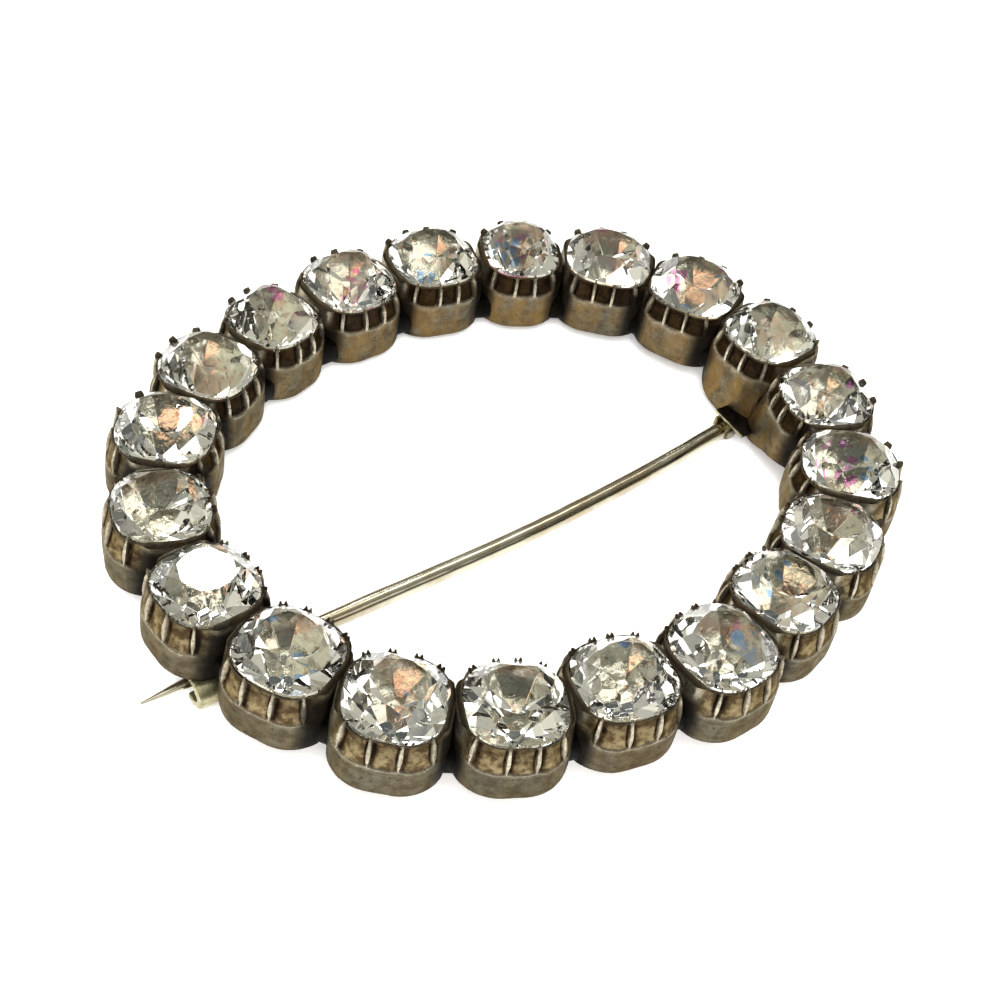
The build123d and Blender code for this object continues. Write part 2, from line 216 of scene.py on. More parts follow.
def tarnished_silver():
    """Hand-worked silver: satin grey-brown bands, bright worn edges, dark hollows, stains and pits, with
    painted light on the lit side walls and painted shade beside the ribs, under the rim and between the
    collets.
    """
    made, tree, shader, place = material("tarnished_silver")
    wear_and_light, grime_and_shade, stain, panel = (attribute(tree, name) for name in ("wear_and_light", "grime_and_shade", "stain", "panel"))
    patches = cloud(tree, place, 0.45, 3.0)
    blotches = cloud(tree, place, 1.7, 6.0, 0.65)
    grain = cloud(tree, place, 9.0, 6.0, 0.7)
    lines = cloud(tree, millimetres(tree, (0.8, 0.8, 9.0)), 1.0, 5.0, 0.7)

    band = mix(tree, spread(tree, patches, 0.35, 0.65), *BAND_COLOURS)
    band = mix(tree, spread(tree, blotches, 0.42, 0.62, 0.0, 0.75), band, BAND_BLOTCH)
    band = mix(tree, spread(tree, lines, 0.45, 0.7, 0.0, 0.45), band, BAND_LINES)
    runs = millimetres(tree, (1.2, 1.2, 0.45))
    gold = spread(tree, cloud(tree, runs, 0.8, 5.0, 0.6), 0.30, 0.66)
    band = mix(tree, times(tree, gold, stain), band, GOLD_STAIN)
    olive = mix(tree, spread(tree, blotches, 0.36, 0.60), *PANEL_COLOURS)
    olive = mix(tree, spread(tree, grain, 0.56, 0.70, 0.0, 0.8), olive, PANEL_SPECKS)
    band = mix(tree, times(tree, panel, 0.9), band, olive)
    # Grime in the hollows, with painted shade beside the ribs, under the rim and where the collets meet
    dark = mix(tree, spread(tree, blotches, 0.4, 0.6), *HOLLOW_AND_SHADE_COLOURS)
    darkened = times(tree, grime_and_shade, spread(tree, grain, 0.2, 0.6, 0.75, 1.0))
    colour = mix(tree, darkened, band, dark)
    # Bright where worn, and painted light on the side walls that face the light
    bright = mix(tree, spread(tree, grain, 0.4, 0.65), *WORN_AND_LIT_COLOURS)
    worn_and_lit = times(tree, wear_and_light, spread(tree, blotches, 0.25, 0.55, 1.0, 0.55))
    colour = mix(tree, worn_and_lit, colour, bright)
    # Painted shade: near-black, dull and not metallic in the gaps between the collets
    painted_gap_shade = attribute(tree, "painted_gap_shade")
    colour = mix(tree, times(tree, painted_gap_shade, 0.98), colour, GAP_SHADE_COLOUR)

    pit = spread(tree, cells(tree, place, PIT_SCALE, "Distance"), 0.05, 0.13, 1.0, 0.0)
    colour = mix(tree, times(tree, pit, 0.8), colour, PIT_COLOUR)

    rough = spread(tree, blotches, 0.3, 0.7, 0.30, 0.50)
    rough = calc(tree, "ADD", rough, times(tree, grime_and_shade, 0.12))
    rough = calc(tree, "SUBTRACT", rough, times(tree, wear_and_light, 0.12))
    rough = calc(tree, "ADD", rough, times(tree, painted_gap_shade, 0.25))
    metallic = spread(tree, painted_gap_shade, 0.0, 1.0, 0.90, 0.0)
    height = calc(tree, "ADD", times(tree, grain, 0.5), times(tree, lines, 0.5))
    height = calc(tree, "SUBTRACT", height, times(tree, pit, 1.2))
    normal = bump(tree, height, 0.55, 0.03)
    normal = bump(tree, blotches, 0.35, 0.09, normal)
    fill(shader, Base_Color=colour, Metallic=metallic, Roughness=rough, Normal=normal)
    fill(shader, Specular_Tint=SOOT_TINT, Specular_IOR_Level=0.12)
    return made


def foil():
    """Crumpled silvered foil under the stones, browned in places and with rainbow tarnish in a few."""
    made, tree, shader, place = material("foil")
    patches = cloud(tree, place, 0.5, 2.0)
    creases = cloud(tree, place, 2.2, 3.0, 0.5)
    colour = mix(tree, spread(tree, patches, 0.50, 0.64), *FOIL_COLOURS)
    colour = mix(tree, spread(tree, creases, 0.57, 0.70), colour, FOIL_CREASE)
    normal = bump(tree, creases, 0.60, 0.085)
    parts = node(tree, "SeparateColor", {0: cells(tree, place, RAINBOW_SCALE, "Color")})
    hue = spread(tree, parts.outputs[1], 0.46, 0.58, *RAINBOW_HUES)
    keys = {0: hue, 1: RAINBOW_STRENGTH, 2: RAINBOW_VALUE}
    rainbow = node(tree, "CombineColor", keys, mode="HSV").outputs[0]
    colour = mix(tree, spread(tree, parts.outputs[0], 0.950, 0.965), colour, rainbow)
    rough = spread(tree, patches, 0.4, 0.6, 0.06, 0.20)
    fill(shader, Base_Color=colour, Metallic=1.0, Roughness=rough, Normal=normal)
    return made


def paste():
    """Lead glass, polished by hand, with faint scuffs."""
    made, tree, shader, place = material("paste")
    scuffs = cloud(tree, millimetres(tree, (6.0, 0.7, 6.0), 0.6), 1.5, 5.0, 0.7)
    rough = spread(tree, scuffs, 0.62, 0.75, 0.0, 0.10)
    normal = bump(tree, cloud(tree, place, 0.9, 2.0), 0.06, 0.05)
    fill(shader, Base_Color=GLASS_COLOUR, Roughness=rough, Normal=normal)
    fill(shader, Transmission_Weight=1.0, IOR=GLASS_IOR)
    return made


def drawn_steel():
    """The pin's wire: burnished along its length, with yellow-brown tarnish."""
    made, tree, shader, place = material("drawn_steel")
    lines = cloud(tree, millimetres(tree, (0.25, 9.0, 9.0), 0.04), 1.0, 4.0, 0.6)
    patches = cloud(tree, place, 0.35, 4.0)
    colour = mix(tree, spread(tree, patches, 0.42, 0.66), *STEEL_COLOURS)
    colour = mix(tree, spread(tree, lines, 0.55, 0.75, 0.0, 0.4), colour, STEEL_LINES)
    rough = spread(tree, lines, 0.35, 0.7, 0.16, 0.26)
    normal = bump(tree, lines, 0.3, 0.010)
    fill(shader, Base_Color=colour, Metallic=1.0, Roughness=rough, Normal=normal)
    return made


def worn_metal(name, fresh, tarnish, amount, roughness):
    """Plainer metal of the fittings: a fresh colour under grained tarnish."""
    made, tree, shader, place = material(name)
    blotches = cloud(tree, place, 2.1, 6.0, 0.65)
    grain = cloud(tree, place, 11.0, 5.0, 0.7)
    middle = 0.5 + 0.25 * (0.5 - amount)
    colour = mix(tree, spread(tree, blotches, middle - 0.12, middle + 0.12), fresh, tarnish)
    colour = mix(tree, spread(tree, grain, 0.5, 0.75, 0.0, 0.5), colour, tarnish)
    rough = spread(tree, grain, 0.3, 0.7, roughness - 0.08, roughness + 0.12)
    normal = bump(tree, grain, 0.4, 0.02)
    normal = bump(tree, blotches, 0.3, 0.06, normal)
    fill(shader, Base_Color=colour, Metallic=0.95, Roughness=rough, Normal=normal)
    return made


def table_top():
    """The pale table under the brooch."""
    made, tree, shader, place = material("table_top")
    shade = mix(tree, cloud(tree, place, 0.02, 3.0), *TABLE_COLOURS)
    fill(shader, Base_Color=shade, Roughness=0.28, Specular_IOR_Level=0.5)
    fill(shader, Emission_Color=TABLE_GLOW, Emission_Strength=0.35)
    return made


SILVER = tarnished_silver()
FOIL = foil()
PASTE = paste()
STEEL = drawn_steel()
BLACK_PLATE_METAL = worn_metal("black_plate", (0.020, 0.016, 0.012), (0.006, 0.005, 0.004), 0.7, 0.5)
SOLDERED = worn_metal("solder", (0.24, 0.20, 0.08), (0.08, 0.06, 0.022), 0.5, 0.36)
CATCH_METAL = worn_metal("catch_strip", (0.50, 0.47, 0.30), (0.30, 0.27, 0.15), 0.40, 0.36)
# Near-black solder, painted shade in the gaps between the collets
SHADED_SOLDER = worn_metal("solder_painted_shade", (0.007, 0.006, 0.004), (0.002, 0.002, 0.001), 0.6, 0.65)
RIVET_METAL = worn_metal("rivet_wire", (0.30, 0.27, 0.20), (0.10, 0.08, 0.045), 0.4, 0.34)


# Mesh helpers: every shape is worked out in the ring's frame in millimetres
ALONG_X = Vector((1, 0, 0))
ALONG_Y = Vector((0, 1, 0))
ALONG_Z = Vector((0, 0, 1))
UP = np.array([0, 0, 1.0])
# Hand work's unevenness: how deep it is, how fine, and a number that sets the pattern
DENTS = {
    "solder_joints": (0.08, 1.5, 3.0),
    "hinge_plate": (0.04, 1.3, 5.0),
    "hinge_ear_front": (0.03, 1.8, 6.0),
    "hinge_ear_back": (0.03, 1.8, 8.0),
    "catch_hook": (0.04, 1.6, 11.0),
    "catch_tab": (0.04, 1.4, 13.0),
}


def make_piece(
    name, points, faces, metal, slot="silver", body="brooch", stands_for=("collet_ring",), sharp=40.0
):
    """A piece riding on its body, smooth except at edges sharper than an angle."""
    to_row = np.array(RING)
    placed = np.asarray(points) @ to_row[:3, :3].T + to_row[:3, 3]
    mesh = bpy.data.meshes.new(name)
    mesh.from_pydata(placed.tolist(), [], faces)
    mesh.polygons.foreach_set("use_smooth", [True] * len(mesh.polygons))
    mesh.set_sharp_from_angle(angle=radians(sharp))
    mesh.materials.append(metal)
    piece = put(name, mesh)
    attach(piece, body)
    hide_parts(*stands_for)
    return piece


def dented(shape, depth, scale, pattern):
    """Moves a bmesh's points along their normals by smooth noise."""
    shape.normal_update()
    shift = Vector((pattern, 2 * pattern, 3 * pattern))
    moves = [v.normal * noise.noise(v.co * scale + shift) * depth for v in shape.verts]
    for v, move in zip(shape.verts, moves):
        v.co += move


def from_bmesh(name, shape, metal, **keys):
    if name in DENTS:
        dented(shape, *DENTS[name])
    bmesh.ops.recalc_face_normals(shape, faces=shape.faces)
    points = [tuple(v.co) for v in shape.verts]
    shape.verts.index_update()
    faces = [[v.index for v in face.verts] for face in shape.faces]
    shape.free()
    make_piece(name, points, faces, metal, **keys)


def prism(shape, low, high):
    """Joins two rings of points by walls and closes both ends. Gives back the two end faces."""
    rings = [[shape.verts.new(point) for point in ring] for ring in (low, high)]
    caps = [shape.faces.new(reversed(rings[0])), shape.faces.new(rings[1])]
    for k in range(len(low)):
        after = (k + 1) % len(low)
        shape.faces.new((rings[0][k], rings[0][after], rings[1][after], rings[1][k]))
    return caps


def plate(name, metal, outline, middle, axis_u, axis_v, thickness, bevel, finer=1):
    """A flat piece with an outline in two directions, thick in the third, its edges rounded."""
    shape = bmesh.new()
    axis_w = axis_u.cross(axis_v)
    rings = [
        [middle + axis_u * u + axis_v * v + axis_w * (side * thickness) for u, v in outline]
        for side in (-0.5, 0.5)
    ]
    rims = [edge for cap in prism(shape, *rings) for edge in cap.edges]
    bmesh.ops.bevel(shape, geom=rims, offset=bevel, segments=2, affect="EDGES", profile=0.6)
    bmesh.ops.triangulate(shape, faces=[face for face in shape.faces if len(face.verts) > 4])
    for _ in range(finer):
        bmesh.ops.subdivide_edges(shape, edges=shape.edges[:], cuts=1, use_grid_fill=True)
    from_bmesh(name, shape, metal)


def tube_faces(rings, sides, closed=False):
    """The faces between rings of points that follow each other, and from the last to the first if closed."""
    faces = []
    for ring in range(rings if closed else rings - 1):
        low = ring * sides
        high = (ring + 1) % rings * sides
        for k in range(sides):
            after = (k + 1) % sides
            faces.append([low + k, low + after, high + after, high + k])
    return faces


def lathe(profile, middle, axis, sides, closed=False):
    """A turned shape. profile is a list of (radius, along), and an end closes where its radius is 0."""
    side = axis.orthogonal().normalized()
    other = axis.cross(side)
    points = []
    for radius, along in profile:
        for k in range(sides):
            angle = 2 * pi * k / sides
            spoke = side * cos(angle) + other * sin(angle)
            points.append(middle + axis * along + spoke * radius)
    return points, tube_faces(len(profile), sides, closed)


# Stones: where each one sits, read from its CAD node
def stone_place(name):
    """One stone's middle, outward and along directions and half sizes, in the ring's frame."""
    points = np.array([v.co for v in frame["nodes"][name].data.vertices])
    to_ring = np.array(RING.inverted())
    points = points @ to_ring[:3, :3].T + to_ring[:3, 3]
    rough = (points.max(0) + points.min(0)) / 2
    angle = atan2(rough[1] / OVAL_WIDTH, rough[0] / OVAL_LENGTH)
    out = np.array([cos(angle) / OVAL_LENGTH, sin(angle) / OVAL_WIDTH, 0])
    out /= np.linalg.norm(out)
    along = np.array([-out[1], out[0], 0])
    far_out, far_along = points @ out, points @ along
    middle = out * (far_out.max() + far_out.min()) / 2 + along * (far_along.max() + far_along.min()) / 2
    return {
        "middle": middle,
        "out": out,
        "along": along,
        "half_depth": (far_out.max() - far_out.min()) / 2,
        "half_width": (far_along.max() - far_along.min()) / 2,
    }


places = [stone_place(f"stone_{k:02d}") for k in range(STONE_COUNT)]

# Each stone is cut from a blank, one plane for each facet, a little unevenly, as by hand
STONE_SEED = 500
STONE_GROW = 0.07
GIRDLE_THICKNESS = 0.14
CROWN_HEIGHT = 1.12
PAVILION_HEIGHT = 2.05
TABLE_SHARE = 0.54
CULET_SHARE = 0.08
OUTLINE_SIDES = 64
CROWN_BREAK = 6.0
PAVILION_BREAK = 4.5
STAR_SHARE = 0.55
STAR_REACH = (0.97, 1.06)
MAIN_FACETS = 8
BREAK_FACETS = 16
BREAK_TURN = 11.25
# Unevenness: the whole cut's turn, each facet's turn and its slope, in degrees, and its place
CUT_TURN = 9
TURN_JITTER = 2.5
SLOPE_JITTER = {"crown": 1.0, "pavilion": 2.2}
REACH_JITTER = 0.0175
FACET_WEAR = 0.016
MERGE = 0.004
FOIL_GAP = 0.025
FOIL_THICKNESS = 0.05
FOIL_TOP = 3.60
FOIL_INSET = 0.06
CUSHION_POWER = 2.55
CULET_HEIGHT = GIRDLE_HEIGHT - GIRDLE_THICKNESS / 2 - PAVILION_HEIGHT
TABLE_HEIGHT = GIRDLE_HEIGHT + GIRDLE_THICKNESS / 2 + CROWN_HEIGHT
# How each stone sits in its cup, in degrees, about the way along the ring and about the way out of it
STONE_TILTS = (
    (0.8, -0.6), (-1.0, 0.7), (0.5, 1.2), (-0.7, -0.9), (1.2, 0.3), (0.4, -1.1), (-1.2, 0.5),
    (0.9, 0.8), (0.9, -1.3), (-1.2, 1.0), (0.3, 0.2), (-1.6, -1.2), (-0.6, -1.0), (0.7, 1.3),
    (-1.1, 0.4), (0.6, -0.8), (1.1, 0.9), (-0.8, 0.6), (0.5, -1.2), (-0.9, -0.4),
)


def cushion_outline(place, grow):
    """The stone's rounded square outline, as points in its own plane."""
    points = []
    for k in range(OUTLINE_SIDES):
        angle = 2 * pi * (k + 0.5) / OUTLINE_SIDES
        x, y = cos(angle), sin(angle)
        x = copysign(abs(x) ** (2 / CUSHION_POWER), x) * (place["half_depth"] + grow)
        y = copysign(abs(y) ** (2 / CUSHION_POWER), y) * (place["half_width"] + grow)
        points.append((x, y))
    return points


def facet_planes(place, number):
    """The planes of one stone, crown and pavilion apart: each a normal and a point it goes through."""
    draw = random.Random(STONE_SEED + number)
    outline = cushion_outline(place, STONE_GROW)
    half = min(place["half_depth"], place["half_width"]) + STONE_GROW
    twist = draw.uniform(-CUT_TURN, CUT_TURN)
    crown_slope = atan(CROWN_HEIGHT / (half * (1 - TABLE_SHARE)))
    pavilion_slope = atan(PAVILION_HEIGHT / (half * (1 - CULET_SHARE)))
    planes = {"crown": [], "pavilion": []}
    for part, up, slope, count, turn in (
        ("crown", 1, crown_slope, MAIN_FACETS, 0.0),
        ("crown", 1, crown_slope + radians(CROWN_BREAK), BREAK_FACETS, BREAK_TURN),
        ("pavilion", -1, pavilion_slope, MAIN_FACETS, 0.0),
        ("pavilion", -1, pavilion_slope + radians(PAVILION_BREAK), BREAK_FACETS, BREAK_TURN),
    ):
        for k in range(count):
            jitter = draw.uniform(-TURN_JITTER, TURN_JITTER)
            angle = radians(360 * k / count + turn + twist + jitter)
            steep = slope + radians(draw.uniform(-SLOPE_JITTER[part], SLOPE_JITTER[part]))
            flat = Vector((cos(angle), sin(angle), 0))
            reach = max(flat.x * x + flat.y * y for x, y in outline)
            edge = reach + draw.uniform(-REACH_JITTER, REACH_JITTER)
            point = flat * edge + ALONG_Z * (GIRDLE_HEIGHT + up * GIRDLE_THICKNESS / 2)
            planes[part].append((flat * sin(steep) + ALONG_Z * (up * cos(steep)), point))
    for k in range(MAIN_FACETS):
        angle = radians(360 * (k + 0.5) / MAIN_FACETS + twist)
        slope = crown_slope * STAR_SHARE
        flat = Vector((cos(angle), sin(angle), 0))
        reach = half * TABLE_SHARE * draw.uniform(*STAR_REACH)
        normal = flat * sin(slope) + ALONG_Z * cos(slope)
        planes["crown"].append((normal, flat * reach + ALONG_Z * TABLE_HEIGHT))
    return planes


def blank(shape, outline, low, high):
    prism(shape, *([(x, y, z) for x, y in outline] for z in (low, high)))


def cut_away(shape, normal, point):
    """Cuts what lies beyond a plane off a convex body and closes the cut with one facet."""
    everything = shape.verts[:] + shape.edges[:] + shape.faces[:]
    cut = bmesh.ops.bisect_plane(
        shape, geom=everything, dist=1e-5, plane_co=point, plane_no=normal, clear_outer=True
    )
    rim = [part for part in cut["geom_cut"] if isinstance(part, bmesh.types.BMEdge) and part.is_boundary]
    if rim:
        bmesh.ops.edgeloop_fill(shape, edges=rim)


def seated(shape, place, number):
    """Turns a shape from the stone's own frame, tilted as it sits in its cup, to the ring's frame."""
    lean, roll = (radians(angle) for angle in STONE_TILTS[number])
    axes = Matrix((place["out"], place["along"], (0, 0, 1))).transposed().to_4x4()
    pivot = ALONG_Z * GIRDLE_HEIGHT
    tilt = Matrix.Rotation(lean, 4, "Y") @ Matrix.Rotation(roll, 4, "X")
    moves = Matrix.Translation(Vector(place["middle"])) @ axes
    moves = moves @ Matrix.Translation(pivot) @ tilt @ Matrix.Translation(-pivot)
    bmesh.ops.transform(shape, matrix=moves, verts=shape.verts)


def cut_stone(number):
    place = places[number]
    planes = facet_planes(place, number)
    shape = bmesh.new()
    blank(shape, cushion_outline(place, STONE_GROW), CULET_HEIGHT, TABLE_HEIGHT)
    for normal, point in planes["crown"] + planes["pavilion"]:
        cut_away(shape, normal, point)
    bmesh.ops.remove_doubles(shape, verts=shape.verts, dist=MERGE)
    bmesh.ops.dissolve_degenerate(shape, edges=shape.edges, dist=MERGE)
    bmesh.ops.bevel(
        shape, geom=shape.edges[:], offset=FACET_WEAR, segments=1, affect="EDGES", profile=0.5,
        clamp_overlap=True,
    )
    seated(shape, place, number)
    name = f"stone_{number:02d}"
    from_bmesh("cut_" + name, shape, PASTE, slot="paste", stands_for=(name,), sharp=1.5)


def foil_cup(number):
    """A thin cup of foil against the stone's pavilion, with the same facets."""
    place = places[number]
    planes = facet_planes(place, number)["pavilion"]
    shape = bmesh.new()
    for gap in (FOIL_GAP, FOIL_GAP + FOIL_THICKNESS):
        layer = bmesh.new()
        blank(layer, cushion_outline(place, STONE_GROW + gap - FOIL_INSET), CULET_HEIGHT - gap, FOIL_TOP)
        for normal, point in planes:
            cut_away(layer, normal, point + normal * gap)
        layer.normal_update()
        lids = [face for face in layer.faces if face.normal.z > 0.99]
        bmesh.ops.delete(layer, geom=lids, context="FACES")
        if gap == FOIL_GAP:
            bmesh.ops.reverse_faces(layer, faces=layer.faces)
        mesh = bpy.data.meshes.new("layer")
        layer.to_mesh(mesh)
        layer.free()
        shape.from_mesh(mesh)
        bpy.data.meshes.remove(mesh)
    rims = [edge for edge in shape.edges if edge.is_boundary]
    bmesh.ops.bridge_loops(shape, edges=rims)
    seated(shape, place, number)
    from_bmesh(f"foil_{number:02d}", shape, FOIL, sharp=3)


for number in range(STONE_COUNT):
    cut_stone(number)
    foil_cup(number)


# Collets: a band below, a ledge, hollowed panels between ribs above it, and claws at the stone's edge.
# Around one, s is the way along the stone's edge, in millimetres, from the middle of its outer side.
COLUMNS = 240
COLLET_SEED = 100
OUTER_RIBS = (-2.17, -0.72, 0.72, 2.17)
INNER_RIBS = (-1.80, -0.60, 0.60, 1.80)
RIB_JITTER = 0.07
RIB_LEAN = 0.05
# Columns stand closer together within this distance of a rib, up to this many times more
RIB_NEAR = 0.24
RIB_DENSER = 5.0
FINE_STEPS = 6000
# The ribs' widths as shares of those in WALL_ROWS, and the one that all rows have on the inner side
OUTER_RIB_SHARE = 0.90
INNER_RIB_SHARE = 0.72
INNER_RIB_HALF = 0.135
RIB_SOFT = 0.03
# The ledge, a little lower between the ribs
OUTER_LEDGE = 1.98
INNER_LEDGE = 2.46
LEDGE_JITTER = 0.05
LEDGE_SCALLOP = 0.10
SCALLOP_BLEND = (0.08, 0.40)
LEDGE_WAVE = 0.05
WAVE_SCALE = 1.3
WAVE_APART = 7.0
# The sides between neighbours: where they start, and how far the wall there stands out, with a groove
SIDE_SLIMMER = 0.06
OUTER_SIDE_START = 2.75
INNER_SIDE_START = 2.30
SIDE_BLEND = 0.50
SIDE_OUT = 0.49
SIDE_TAPER = 0.13
GROOVE_DEPTH = 0.035
GROOVE_SHARE = 0.72
GROOVE_HALF = 0.07
TOUCHING = 0.015
# Hollows cut beside the ribs, with a wider one on one side of the outer ribs, all darkened with painted
# shade, most on that one side
RIB_HOLLOW = 0.05
LEE_PLACE = 0.12
LEE_HALF = 0.13
# Claws on the side that faces this way are rubbed low
FRONT = np.array([-0.676, -0.737, 0])
FRONT_BLEND = (-0.1, 0.1)
# Painted shade in the gaps between collets lies thicker on the sides that face this way, and the side walls
# facing away get painted light
SHADY = np.array([0.737, -0.676, 0])
SHADY_BLEND = (-0.3, 0.3)
# Where it starts and is full, from the plane between two collets, and the heights where it thins out, each
# with what is added on the shady sides
GAP_SHADE_NEAR = ((0.75, 0.45), (0.30, 0.15))
GAP_SHADE_TOP = ((2.35, 0.75), (3.15, 0.50))
# How much of the painted gap shade a drop over the hinge takes away, and how much the shade dulls worn
# brightness
GAP_SHADE_LEFT_BY_DROP = 0.55
GAP_SHADE_DULLS = 0.9

# Wear and painted light, which are bright, and grime and painted shade, which are dark, both from 0 to 1
BACK_MARKS = (0.1, 0.3)
BACK_EDGE_MARKS = (0.35, 0.15)
BAND_WEAR = 0.08
BAND_TOP_WEAR = 0.45
# The band darkens at its foot, and at its sides where the collets meet as painted shade
BAND_FOOT_DARKENING = 0.25
BAND_SIDE_SHADE = 0.10
LEDGE_WEAR = 0.65
# Side walls brighten higher up, and get painted light where they face away from the shady way
SIDE_BRIGHTENING = (0.15, 0.25)
LIT_SIDE_LIGHT = (0.15, 0.50)
# Painted shade on the side walls where the collets meet
SIDE_SHADE = 0.05
# Panels: outer ones get painted shade towards the top under the rim; inner ones are dark, with painted shade
# towards the top
OUTER_PANEL_TOP_SHADE = 0.55
INNER_PANEL_GRIME_AND_SHADE = (0.80, 0.20)
INNER_HOLLOW_DARKENING = 0.5
RIM_WEAR = 0.12
CLAW_WEAR = 0.35
# The rim, except on rubbed claws, and the full claws are darker
RIM_DARKENING = 0.5
CLAW_DARKENING = 0.12
# Each mark in the middle of the back and at the bottom of the cup
MARK_ENDS = {
    "wear_and_light": (0.1, 0.0), "grime_and_shade": (0.4, 1.0), "painted_gap_shade": (0.0, 1.0), "stain": (0.3, 0.0), "panel": (0.0, 0.0),
}
# How strongly each collet is stained gold-brown, and the share of that on its outer side
STAINS = (
    1.0, 0.75, 0.75, 0.9, 0.9, 0.75, 0.65, 0.5, 0.5, 0.5,
    0.5, 0.5, 0.5, 0.5, 0.6, 0.7, 0.6, 0.6, 0.75, 0.85,
)
OUTER_STAIN = 0.4

# The band: height as a share of the ledge's height, and how far it stands out from the stone's edge
BAND_ROWS = (
    (0.015, 0.45), (0.04, 0.485), (0.09, 0.51), (0.18, 0.525), (0.33, 0.535),
    (0.52, 0.535), (0.70, 0.53), (0.84, 0.52), (0.93, 0.515), (0.985, 0.51),
)
# The wall above the ledge: height as a share of the way from the ledge to the rim, how far the outer
# panel, the inner panel and the rib stand out, and half the rib's width
WALL_ROWS = (
    (0.00, 0.500, 0.490, 0.51, 0.02), (0.03, 0.450, 0.41, 0.505, 0.03), (0.07, 0.425, 0.35, 0.50, 0.045),
    (0.13, 0.400, 0.31, 0.50, 0.065), (0.23, 0.370, 0.27, 0.50, 0.09), (0.35, 0.335, 0.23, 0.49, 0.108),
    (0.48, 0.295, 0.195, 0.47, 0.117), (0.61, 0.250, 0.165, 0.44, 0.115), (0.74, 0.205, 0.14, 0.395, 0.105),
    (0.85, 0.17, 0.115, 0.365, 0.092), (0.94, 0.155, 0.115, 0.315, 0.080), (1.00, 0.160, 0.145, 0.28, 0.072),
)
# The rim: how far out and how high each row is on a panel, a rubbed claw, a full claw and a side
RIM_ROWS = (
    ((0.165, 3.62), (0.25, 3.68), (0.30, 3.74), (0.255, 3.52)),
    ((0.145, 3.665), (0.22, 3.79), (0.30, 3.87), (0.20, 3.65)),
    ((0.12, 3.685), (0.16, 3.86), (0.24, 3.94), (0.145, 3.74)),
    ((0.095, 3.68), (0.09, 3.885), (0.12, 3.97), (0.09, 3.79)),
    ((0.08, 3.65), (0.03, 3.87), (0.02, 3.95), (0.035, 3.805)),
    ((0.075, 3.60), (0.00, 3.84), (-0.04, 3.88), (0.02, 3.79)),
    ((0.06, 3.52), (0.05, 3.70), (0.03, 3.77), (0.05, 3.72)),
    ((0.04, 3.44), (0.04, 3.44), (0.04, 3.44), (0.04, 3.44)),
)
# The cup under the foil: share of the way from the middle to the edge, and height
CUP_ROWS = ((0.93, 3.20), (0.62, 2.10), (0.30, 1.42))
CUP_BOTTOM = 1.30
BACK_SHARES = (0.20, 0.45, 0.68, 0.86, 0.96)
BACK_EDGE = 0.42
BACK_EDGE_HEIGHT = 0.02
# How much further the far ribs stand out at their tops, the claws' widths as they rise, and half widths
CLAW_SWELL = 0.06
SWELL_BLEND = (0.4, 0.9)
SWELL_OUT = (0.10, 0.28)
CLAW_TAPER = (1.0, 0.95, 0.80, 0.60, 0.50, 0.45, 0.45, 0.45)
CLAW_SOFT = 0.05
OUTER_CLAW = (0.09, 0.13)
INNER_CLAW = 0.085
INNER_CLAW_SHARE = 0.30
# An inner claw that isn't rubbed is split in two beads
BEAD_HALF = 0.075
BEAD_APART = 0.12
BEAD_LEAST_TAPER = 0.75
# Unevenness from hand work, in two sizes, and how much of it each part has
DENT_SCALES = (0.8, 3.1)
FINE_DENT = 0.35
BAND_DENT = 0.02
WALL_DENT = 0.015
RIM_DENT = 0.006
CUP_DENT = 0.03
# The two collets over the hinge go lower there, stand out further, and fill the corner between them
HINGE_COLLETS = (0, 19)
HINGE_SIDE = (17.0, -0.4)
HINGE_DROP = 1.0
DROP_REACH = (1.2, 5.2)
HINGE_FLARE = 0.32
FLARE_REACH = (1.2, 4.5)
HINGE_CORNER = 0.60
CORNER_WAY = 2.1


def smooth(value, low, high):
    share = np.clip((value - low) / (high - low), 0, 1)
    return share * share * (3 - 2 * share)


def flats(place):
    """Half the lengths of the straight parts of the stone's edge."""
    return place["half_depth"] - STONE_CORNER, place["half_width"] - STONE_CORNER


def edge_at(place, ways):
    """Points on the stone's edge and the directions outwards there, in the collet's own plane."""
    x, y = flats(place)
    arc = STONE_CORNER * pi / 2
    passed = np.cumsum([0, y, arc, 2 * x, arc, y])
    far = np.abs(ways)
    angle = np.interp(far, passed, np.array([0, 0, 1, 1, 2, 2]) * pi / 2)
    middle_x = np.interp(far, passed, [x, x, x, -x, -x, -x])
    middle_y = np.interp(far, passed, [0, y, y, y, y, 0])
    side = np.where(ways >= 0, 1, -1)
    out = np.stack([np.cos(angle), side * np.sin(angle)], axis=1)
    return np.stack([middle_x, side * middle_y], axis=1) + STONE_CORNER * out, out


def within(away, half, soft):
    """1 where a distance is less than half a width, and 0 where it is more, with a soft edge."""
    return smooth(half + soft - away, 0, 2 * soft)


def bell(value, middle, half):
    return np.exp(-(((value - middle) / half) ** 2))


def column_ways(ribs, half):
    """Where the columns of a collet's mesh stand: close together at the ribs, further apart elsewhere."""
    fine = np.linspace(-half, half, FINE_STEPS, endpoint=False)
    density = np.full(FINE_STEPS, 1.0)
    for rib in ribs:
        away = np.abs((fine - rib + half) % (2 * half) - half)
        density += RIB_DENSER * bell(away, 0, RIB_NEAR)
    reached = np.cumsum(density)
    reached = (reached - reached[0]) / (reached[-1] + density[-1] - reached[0])
    return np.interp(np.arange(COLUMNS) / COLUMNS, reached, fine)


def level(place, flat):
    """Level points from pairs of distances outwards and along from a stone's middle."""
    return flat[:, :1] * place["out"] + flat[:, 1:] * place["along"]


